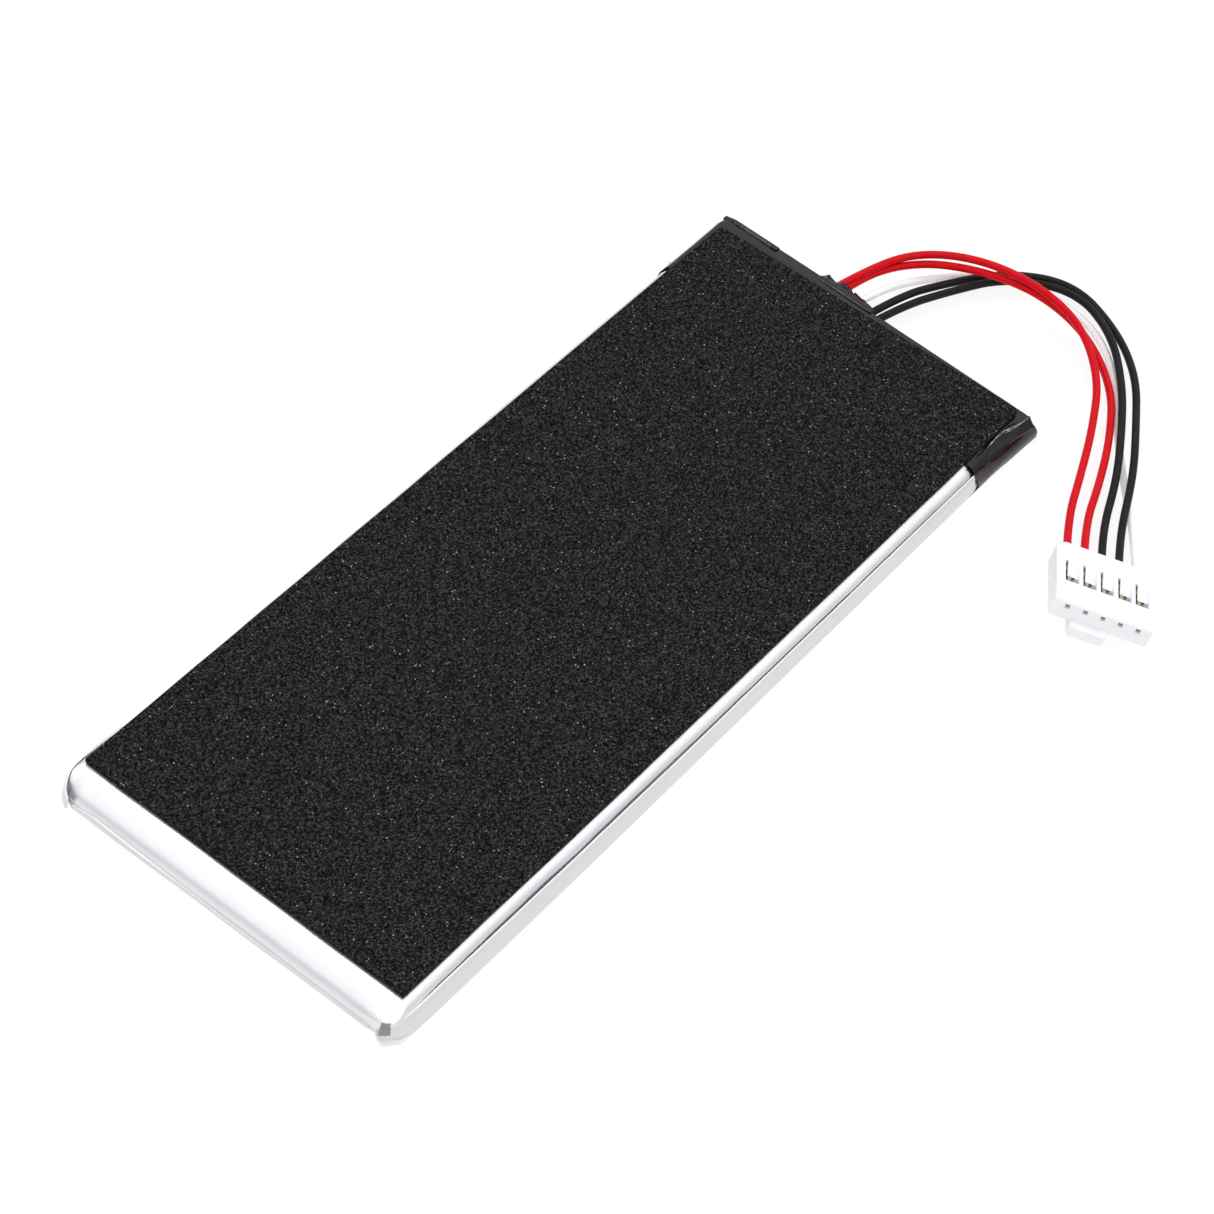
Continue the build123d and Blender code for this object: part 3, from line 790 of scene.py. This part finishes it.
def folded_flange(line, heights, lean, side):
    """Strip of double laminate along the cup: line runs at its foot, lean moves its top inwards."""
    rings = []
    steps = smooth_line([(x, y, 0) for x, y in line], flange_spacing)
    for i, p in enumerate(steps):
        ahead = steps[min(i + 1, len(steps) - 1)]
        behind = steps[max(i - 1, 0)]
        tangent = (ahead - behind).normalized()
        outward = Vector((tangent.y, -tangent.x, 0)) * side
        t = i / (len(steps) - 1)
        top = along(heights, t)
        top += ripple((p.x, p.y, 2.0), 3.5, 0.07)
        top += ripple((p.x, p.y, 8.0), 1.0, 0.025)
        tilt = along(lean, t)
        bulge = ripple((p.x, p.y, 4.0), 6.0, 0.08)
        levels = [
            (0.0, pouch_bottom),
            (-tilt * 0.12 + bulge * 0.3, lerp(pouch_bottom, top, 0.22)),
            (-tilt * 0.5 + bulge, lerp(pouch_bottom, top, 0.55)),
            (-tilt * 0.93, top - 0.07),
            (-tilt - 0.03, top)]
        outer = [p + outward * o + Vector((0, 0, z)) for o, z in levels]
        inner = [p + outward * (o - flange_thickness) + Vector((0, 0, z)) for o, z in levels]
        inner[-1].z = top - 0.01
        rings.append([tuple(v) for v in outer + inner[::-1]])
    return loft(rings)


def near_lip():
    """Seal edge along the near end, folded up against the cup."""
    rings = []
    for i in range(lip_points + 1):
        t = i / lip_points
        y = lerp(-18.8, 18.6, t)
        height = along([(0, 0.24), (0.2, 0.32), (0.5, 0.42), (0.75, 0.7), (0.93, 0.85), (1.0, 0.5)], t)
        height += ripple((y, 0, 0), 4.0, 0.05)
        x = near_fold_x - 0.08 + ripple((y, 3, 0), 8.0, 0.08)
        stand = along([(0, 0.05), (0.5, 0.1), (0.8, 0.2), (1.0, 0.15)], t)
        rings.append([
            (x - 0.02, y, pouch_bottom), (x - stand, y, pouch_bottom + height * 0.5),
            (x - stand * 0.6 + 0.04, y, pouch_bottom + height * 0.93),
            (x - stand * 0.5 + 0.1, y, pouch_bottom + height),
            (x + 0.3, y, pouch_bottom + height * 0.97), (x + 0.4, y, pouch_bottom)])
    return loft(rings)


def ear(points, lift):
    """Small pointed flap of laminate under a near corner; lift scales how far its points curl up."""
    low = [(x, y, pouch_bottom + z * lift) for x, y, z in points]
    high = [(x, y, z + ear_thickness) for x, y, z in low]
    return loft([low, high])


def cover_plate():
    """Flat back of the pouch."""
    near = near_fold_x + 0.02
    outline = [
        (54.9, -22.0), (-52.6, -22.05), (-54.2, -21.7), (-55.0, -20.4), (near, -18.6),
        (near, 18.6), (-54.6, 20.4), (-53.0, 21.3), (54.9, 21.5)]
    low = [(x, y, pouch_bottom) for x, y in outline]
    high = [(x, y, cover_top) for x, y in outline]
    return loft([low, high])


right_flange = folded_flange(
    line=[
        (46.5, -21.8), (45.3, -21.9), (44.2, -22.1), (42.5, -22.2), (30.0, -22.25), (0.0, -22.35),
        (-25.0, -22.45), (-44.2, -22.4), (-50.5, -22.35), (-52.6, -22.25), (-54.1, -21.85),
        (-55.2, -21.05), (-55.6, -20.3)],
    heights=[(0, 1.7), (0.02, 2.1), (0.06, 2.25), (0.9, 2.25), (0.96, 2.15), (1.0, 2.05)],
    lean=[(0, 0.5), (0.03, 0.55), (0.5, 0.6), (0.9, 0.85), (0.96, 0.85), (1.0, 0.8)],
    side=-1)
left_flange = folded_flange(
    line=[
        (46.5, 21.0), (44.0, 21.2), (20.0, 21.25), (-20.0, 21.3), (-42.0, 21.35), (-46.0, 21.65),
        (-51.0, 21.65), (-52.9, 21.35), (-54.3, 20.6), (-55.2, 19.8), (-55.65, 19.0)],
    heights=[(0, 1.6), (0.03, 1.95), (0.93, 2.0), (0.97, 2.1), (1.0, 1.6)],
    lean=[(0, 0.6), (0.86, 0.75), (0.9, 0.62), (0.95, 0.42), (1.0, 0.05)],
    side=1)
right_ear = ear([
    (-52.5, -22.3, 0.0), (-54.35, -22.2, 0.0), (-55.9, -21.1, 0.3), (-55.5, -19.9, 1.0),
    (-54.6, -19.4, 0.6), (-53.0, -20.4, 0.0)], lift=0.45)
left_ear = ear([
    (-53.2, 20.9, 0.0), (-54.6, 19.9, 0.2), (-55.25, 18.6, 0.3), (-54.9, 18.2, 0.0),
    (-54.0, 19.0, 0.0)], lift=0.5)

vertices, faces = joined(cover_plate(), right_flange, left_flange, near_lip(), right_ear, left_ear)
new_piece("pouch_cover_foil", vertices, faces, flange_silver, ["pouch_cover"], 50)


# ---- tape at the wire end ----
tape_rings = 60
tape_wall_steps = 25
tape_edge_steps = 8
tape_flat_steps = 40
tape_left_steps = 10
tape_under_steps = 20


def tape_outline(x):
    """Section of the taped end at x as (y, z) points, from the bottom right round to the bottom left."""
    end = smooth((x - 54.0) / 1.6)
    right_foot = along([(44.2, -22.18), (48.0, -22.22), (53.5, -22.45), (55.7, -22.55)], x)
    right_top = along([(44.2, -21.0), (48.0, -20.6), (51.5, -20.8), (53.5, -21.1), (55.7, -21.45)], x)
    left_top = lerp(20.6, 20.4, end)
    left_foot = lerp(21.6, 21.3, end)
    points = [(right_foot + 0.1, 0.0)]
    for i in range(tape_wall_steps + 1):
        t = i / tape_wall_steps
        lean = 1.15 * t * t - 0.15 * t
        points.append((lerp(right_foot, right_top, lean), lerp(0.12, 3.0, t)))
    for i in range(1, tape_edge_steps + 1):
        points.append((right_top + 0.1 * i, tape_top - 0.1 * (1 - i / tape_edge_steps) ** 2))
    for i in range(tape_flat_steps + 1):
        points.append((lerp(right_top + 0.9, left_top - 0.7, i / tape_flat_steps), tape_top))
    for i in range(tape_left_steps + 1):
        t = i / tape_left_steps
        drop = along([(0, 0.05), (0.2, 0.2), (0.4, 0.6), (0.7, 1.5), (1, 2.98)], t)
        reach = along([(0, -0.35), (0.2, -0.05), (0.4, 0.2), (0.7, 0.65), (1, 1.0)], t)
        y = lerp(left_top, left_foot, reach) if reach > 0 else left_top + reach
        points.append((y, tape_top - drop))
    points.append((left_foot - 0.1, 0.0))
    for i in range(tape_under_steps + 1):
        points.append((lerp(left_foot - 0.2, right_foot + 0.2, i / tape_under_steps), 0.0))
    return points, right_top


def tape_point(x, y, z, t, right_top):
    """Point of the tape with its skewed front edge, creases and pressed end; t is 0 to 1 along it."""
    on_right = smooth(-19.6 - y)
    front = along([(0, 1.7), (0.06, 1.6), (0.07, -0.5), (0.6, 0.0), (1, 0.25)], z / tape_top)
    skew = on_right * front * (1 - t)
    crease = ripple((x * 0.3, y, z), 1.3, 0.06) + ripple((x, y * 0.5, z + 3), 3.5, 0.07)
    grow = smooth((x - 44.5) / 2.5)
    first_ridge = right_top + 0.12 + 0.09 * math.sin(x * 1.7) + ripple((x, 0, 0), 1.2, 0.15)
    ridge = math.exp(-((y - first_ridge) / 0.13) ** 2) * 0.16 * grow if z > 2.5 else 0.0
    lower_ridge = math.exp(-((z - 2.35 + 0.05 * (x - 50)) / 0.12) ** 2) * 0.08 * grow if y < -20 else 0.0
    sink = smooth((x - 54.3) / 1.2) * 0.12 if z > 2.0 else 0.0
    pressed = along([(-21.5, 0.65), (0, 0.45), (6.5, 0.05), (20, 0)], y)
    x -= pressed * smooth((x - 51) / 4.6) * smooth((z - 0.6) / 2.2)
    if z < 0.05:
        return (x - skew, y, z)
    lifted = z + (crease * 0.5 + ridge - sink - 0.04 if z > 0.3 else 0.0)
    return (x - skew, y + (crease - lower_ridge if z < 3.0 else 0.0), max(0.0, lifted))


def tape_wrap():
    """Tape wound round the wire end, tucked in at its end and with a thin front edge."""
    rings = []
    for i in range(tape_rings + 1):
        t = i / tape_rings
        x = lerp(tape_front_x, tape_end_x, t)
        points, right_top = tape_outline(x)
        rings.append([tape_point(x, y, z, t, right_top) for y, z in points])
    middle_z = 1.5
    last = rings[-1]
    for push, pull in ((0.06, 0.1), (0.09, 0.3), (0.1, 0.8), (0.08, 1.4)):
        ring = []
        for x, y, z in last:
            drawn_in = max(-21.0, min(20.0, y))
            ring.append((x + push, lerp(y, drawn_in, 0.2 * pull), lerp(z, middle_z, 0.35 * pull)))
        rings.append(ring)
    lining = [
        [(x + depth, y * 0.9965, lerp(z, middle_z, 0.05)) for x, y, z in rings[0]]
        for depth in (3.0, 0.02)]
    vertices, faces = loft(lining + rings)
    new_piece("tape_wrap_film", vertices, faces, black_tape, ["tape_wrap"], 60)


tape_wrap()


def crease_line(points, width, height):
    """Thin raised line along a crease of the tape through (x, y, z) points, to carry a painted
    highlight; its width wanders.
    """
    rings = []
    line = smooth_line(points, 0.12)
    for i, p in enumerate(line):
        ahead = line[min(i + 1, len(line) - 1)]
        behind = line[max(i - 1, 0)]
        aside = Vector((0, 0, 1)).cross(ahead - behind).normalized()
        ends = min(1.0, i / 5, (len(line) - 1 - i) / 5)
        wander = ripple((p.x, p.y, 2), 0.9, 0.08) + ripple((p.x, p.y, 6), 0.35, 0.03)
        middle = p + aside * wander
        half = max(0.006, width * ends * (0.5 + ripple((p.x, 5, 5), 0.55, 0.8)))
        rings.append([
            tuple(middle - aside * half), tuple(middle + Vector((0, 0, height * ends))),
            tuple(middle + aside * half), tuple(middle - Vector((0, 0, 0.05)))])
    return loft(rings)


# pale grey painted along the tape's creases as their highlight
painted_highlight_film = matt_material(
    "tape_painted_highlight", (0.42, 0.41, 0.42), 0.3, grain_mm=0.15, contrast=0.4, depth=0.2)
long_crease = crease_line([
    (47.7, -20.6, 3.12), (49.0, -20.5, 3.13), (50.4, -20.5, 3.15), (52.0, -20.85, 3.14),
    (53.3, -21.2, 3.08), (54.5, -21.35, 3.0), (54.95, -21.3, 2.98)], width=0.085, height=0.05)
short_crease = crease_line(
    [(50.6, -20.75, 3.13), (51.6, -20.95, 3.12), (52.8, -21.2, 3.06)], width=0.05, height=0.04)
vertices, faces = joined(long_crease, short_crease)
new_piece("tape_crease_highlight", vertices, faces, painted_highlight_film)


def corner_patch():
    """Second layer of tape that folds over the far left corner."""
    section = [
        (54.98, 2.98), (55.04, 3.09), (55.35, 3.1), (55.62, 3.06), (55.78, 2.9), (55.84, 2.4),
        (55.84, 1.6), (55.82, 0.5)]
    rows = []
    steps = 20
    for i in range(steps + 1):
        y = lerp(13.35, 20.7, i / steps)
        bend = smooth((y - 19.4) / 1.3)
        row = []
        for j, (x, z) in enumerate(section):
            pulled = 0.25 * bend * (j > 3)
            row.append((
                x + ripple((y, z, j), 1.5, 0.03) - pulled, y,
                z + ripple((y, x, 4.0), 2.0, 0.03) - 0.3 * bend))
        rows.append(row)
    sheet_patch("tape_corner_film", rows, 0.07, black_tape, ["tape_corner_patch"])


corner_patch()


def exit_tape():
    """Crumpled flap of tape pressed over the wires where they come out."""
    # torn outer edge, as x along y
    reach = [
        (0.2, 55.35), (0.6, 55.75), (1.3, 56.1), (2.0, 56.3), (2.9, 56.4), (3.3, 56.8), (3.6, 56.3),
        (4.1, 57.0), (4.9, 56.95), (5.4, 56.85), (6.1, 56.4), (6.7, 56.35), (6.95, 56.7), (7.2, 56.0),
        (7.5, 55.6)]
    start_x = 54.9
    columns = 15
    lines = 39
    rows = []
    for j in range(lines + 1):
        y = lerp(0.2, 7.5, j / lines)
        end = along(reach, y)
        peak = 0.35 * math.exp(-((y - 6.95) / 0.22) ** 2)
        row = []
        for i in range(columns + 1):
            x = lerp(start_x, end, i / columns)
            tuck = smooth((x - 55.3) / 1.6)
            folds = 0.14 * math.sin(y * 5.1 + x * 2.0)
            z = 3.0 + 0.08 * smooth((x - start_x) / 0.1) - 0.5 * tuck
            z += peak * smooth((x - 55.5) / 0.6)
            z += folds * smooth((x - 55.6) / 0.5) * smooth((y - 3.0) / 0.8)
            z += ripple((x, y, 0), 0.45, 0.1) * smooth((x - 55.5) / 0.5)
            row.append((x, y + 0.15 * math.sin(x * 7) * tuck, z))
        rows.append(row)
    sheet_patch("wire_exit_film", rows, 0.06, black_tape, ["wire_exit_tape"])


exit_tape()


def paint_corner_shade():
    """Dark sheet over the near end of the right seal: painted shade where the fold turns under."""
    flange_points = right_flange[0]
    middle = Vector((-53.0, -20.0, 0.0))
    clearance = 0.05
    rows = []
    for step in range(4):
        first = len(flange_points) - 2 * flange_levels * (step + 1)
        row = []
        for x, y, z in flange_points[first + 1:first + flange_levels]:
            away = (Vector((x, y, 0)) - middle).normalized() * clearance
            fall = 0.25 + 0.06 * step if z < 0.7 else 0.04
            row.append((x + away.x, y + away.y, z - fall))
        rows.append(row)
    sheet_patch("painted_shade_sheet_at_corner", rows, 0.03, painted_shade_silver, [], 80)


paint_corner_shade()


# ---- connector ----
flat_angle = math.radians(1.5)      # faces that meet at less are merged
edge_angle = math.radians(25)       # edges that turn by more are rounded off


def bevelled_copy(node_name, name, width, material, segments=2, extra=((), ())):
    """Copy of a CAD node with merged flat faces and rounded edges; extra is more mesh in millimetres."""
    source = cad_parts[node_name]
    work = bmesh.new()
    work.from_mesh(source.data)
    added = [work.verts.new(Vector(p) * MM) for p in extra[0]]
    for face in extra[1]:
        work.faces.new([added[i] for i in face])
    bmesh.ops.remove_doubles(work, verts=work.verts, dist=1e-7)
    bmesh.ops.dissolve_limit(work, angle_limit=flat_angle, verts=work.verts, edges=work.edges)
    sharp = [
        edge for edge in work.edges
        if len(edge.link_faces) == 2 and edge.calc_face_angle(0) > edge_angle]
    bmesh.ops.bevel(
        work, geom=sharp, offset=width * MM, offset_type="OFFSET", segments=segments, profile=0.6,
        affect="EDGES", clamp_overlap=True)
    mesh = bpy.data.meshes.new(name)
    work.to_mesh(mesh)
    work.free()
    return place(name, mesh, material, [node_name], 35)


housing = bevelled_copy("connector_housing", "connector_housing_moulding", 0.07, nylon)


def contact_block(x0, x1, y0, y1, low, high, rise):
    """Small bent tab in the connector's axes; rise lifts its rear end."""
    rings = []
    for level, lift in ((low, rise * 0.6), (high, rise)):
        corners = [(x0, y0, level), (x1, y0, level), (x1, y1, level + lift), (x0, y1, level + lift)]
        rings.append([tuple(in_connector(*p)) for p in corners])
    return loft(rings)


# small tabs seen through the housing's windows: lance, two wings and the bridge between them
draw = random.Random(7)
tabs = []
for index in range(pin_count):
    x = (index - pin_count // 2) * pin_pitch
    lance_rise = draw.uniform(0.2, 0.3)
    tabs.append(contact_block(x - 0.2, x + 0.2, 3.62, 4.55, -0.5, -0.42, lance_rise))
    wing_top = draw.uniform(-0.28, -0.16)
    wing_rise = draw.uniform(-0.1, 0.05)
    tabs.append(contact_block(x - 0.5, x - 0.38, 3.55, 4.4, -0.6, wing_top, wing_rise))
    wing_top = draw.uniform(-0.3, -0.2)
    wing_rise = draw.uniform(-0.12, 0.02)
    tabs.append(contact_block(x + 0.32, x + 0.44, 3.55, 4.3, -0.6, wing_top, wing_rise))
    bridge_top = draw.uniform(-0.38, -0.3)
    tabs.append(contact_block(x - 0.3, x + 0.24, 3.52, 3.66, -0.5, bridge_top, 0.0))
contacts = bevelled_copy(
    "crimp_contacts", "crimp_contact_row", 0.02, slot_materials["contact_brass"],
    segments=1, extra=joined(*tabs))


# ---- CAD nodes that stay, and the cords' exit points ----
node_looks = {
    "anode_sheets": "graphite", "cathode_sheets": "cathode_coating",
    "separator_sheets": "separator_film", "stack_tape": "stack_tape",
    "foil_bundle_positive": "aluminium_foil", "foil_bundle_negative": "copper_foil",
    "tab_positive": "aluminium_foil", "tab_negative": "nickel",
    "tab_film_positive": "tab_film", "tab_film_negative": "tab_film",
    "nickel_pad_positive": "nickel", "nickel_pad_negative": "nickel",
    "board_insulator": "insulating_paper", "protection_board": "circuit_board",
    "mosfet_chip": "chip_body", "protection_chip": "chip_body", "chip_resistors": "chip_body",
    "chip_capacitors": "ceramic_chip", "thermistor_chip": "ceramic_chip",
    "solder_joints": "solder", "conductor_ends": "tinned_copper", "adhesive_film": "adhesive",
}
# the nodes that aren't listed are hidden behind the pieces that replace them
for node_name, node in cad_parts.items():
    material = slot_materials[node_looks.get(node_name, "black_tape")]
    for index in range(len(node.data.materials)):
        node.data.materials[index] = material

for wire, exit_point, wire_length in wires:
    tuple(c * MM for c in exit_point)
